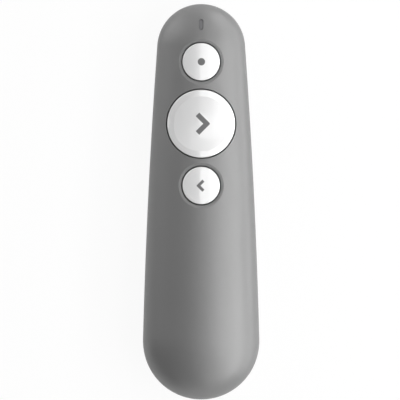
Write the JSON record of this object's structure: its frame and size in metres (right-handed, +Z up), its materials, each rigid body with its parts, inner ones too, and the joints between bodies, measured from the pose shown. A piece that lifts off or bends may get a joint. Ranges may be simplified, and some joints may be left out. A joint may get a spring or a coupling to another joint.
{
  "type": "wireless presentation clicker",
  "caption": "Handheld wireless presentation clicker: pebble-shaped grey casing, round press buttons, laser in the nose, sliding battery cover and a docked radio receiver.",
  "frame": {"origin": "middle of the body's outline on the flat that it rests on, lying on its back with the buttons up", "axes": "+Z up out of the buttons, +Y along the body towards the laser nose, +X to the right when looking down at the buttons with the nose away"},
  "size_m": [0.041, 0.1396, 0.0251],
  "materials": {
    "casing": "fine satin moulded plastic, mid grey",
    "button": "satin moulded plastic, light grey, with printed grey marks",
    "light_guide": "translucent smoked plastic",
    "window": "clear red-tinted window",
    "lens": "clear polished glass",
    "laser_brass": "turned brass",
    "diode_steel": "plain metal can",
    "circuit_board": "green solder mask",
    "chip": "black moulded package",
    "crystal_can": "pressed metal can",
    "capacitor": "brown ceramic body",
    "led": "pale resin",
    "switch_body": "black moulded plastic",
    "switch_stem": "pale moulded plastic",
    "screw_steel": "zinc-plated steel",
    "bracket": "black moulded plastic",
    "contact_metal": "nickel-plated spring steel",
    "cell_can": "plain steel can",
    "cell_jacket": "plain printed-free film",
    "receiver_plastic": "black moulded plastic",
    "receiver_metal": "folded steel sleeve",
    "gold": "gold-plated contact strips"
  },
  "bodies": {
    "casing": {"top_shell": "casing", "bottom_shell": "casing", "laser_switch": "switch_body", "next_switch": "switch_body", "back_switch": "switch_body", "case_screws": "screw_steel", "board_screws": "screw_steel", "clamp_screws": "screw_steel", "main_board": "circuit_board", "laser_driver_board": "circuit_board", "radio_chip": "chip", "boost_inductor": "chip", "crystal": "crystal_can", "capacitors": "capacitor", "status_led": "led", "light_pipe": "light_guide", "laser_window": "window", "laser_lens": "lens", "laser_barrel": "laser_brass", "laser_diode": "diode_steel", "laser_clamp": "bracket", "battery_cell": "cell_can", "battery_jacket": "cell_jacket", "plus_contact": "contact_metal", "minus_contact": "contact_metal", "minus_spring": "contact_metal"},
    "laser_button": {"laser_button_cap": "button", "laser_switch_stem": "switch_stem"},
    "next_button": {"next_button_cap": "button", "next_switch_stem": "switch_stem"},
    "back_button": {"back_button_cap": "button", "back_switch_stem": "switch_stem"},
    "battery_cover": {"battery_cover": "casing"},
    "usb_receiver": {"receiver_cap": "receiver_plastic", "receiver_plug": "receiver_metal", "receiver_tongue": "receiver_plastic", "receiver_contacts": "gold"}
  },
  "joints": [
    {"name": "laser_press", "type": "slide", "parent": "casing", "child": "laser_button", "axis": [0, 0, -1], "range_m": [0, 0.0005], "stiffness_N_per_m": 1500, "springref_m": -0.0008},
    {"name": "next_press", "type": "slide", "parent": "casing", "child": "next_button", "axis": [0, 0, -1], "range_m": [0, 0.0005], "stiffness_N_per_m": 1500, "springref_m": -0.0008},
    {"name": "back_press", "type": "slide", "parent": "casing", "child": "back_button", "axis": [0, 0, -1], "range_m": [0, 0.0005], "stiffness_N_per_m": 1500, "springref_m": -0.0008},
    {"name": "cover_slide", "type": "slide", "parent": "casing", "child": "battery_cover", "axis": [0, -1, 0], "range_m": [0, 0.048]},
    {"name": "receiver_slide", "type": "slide", "parent": "casing", "child": "usb_receiver", "axis": [0, -1, 0], "range_m": [0, 0.021]}
  ]
}
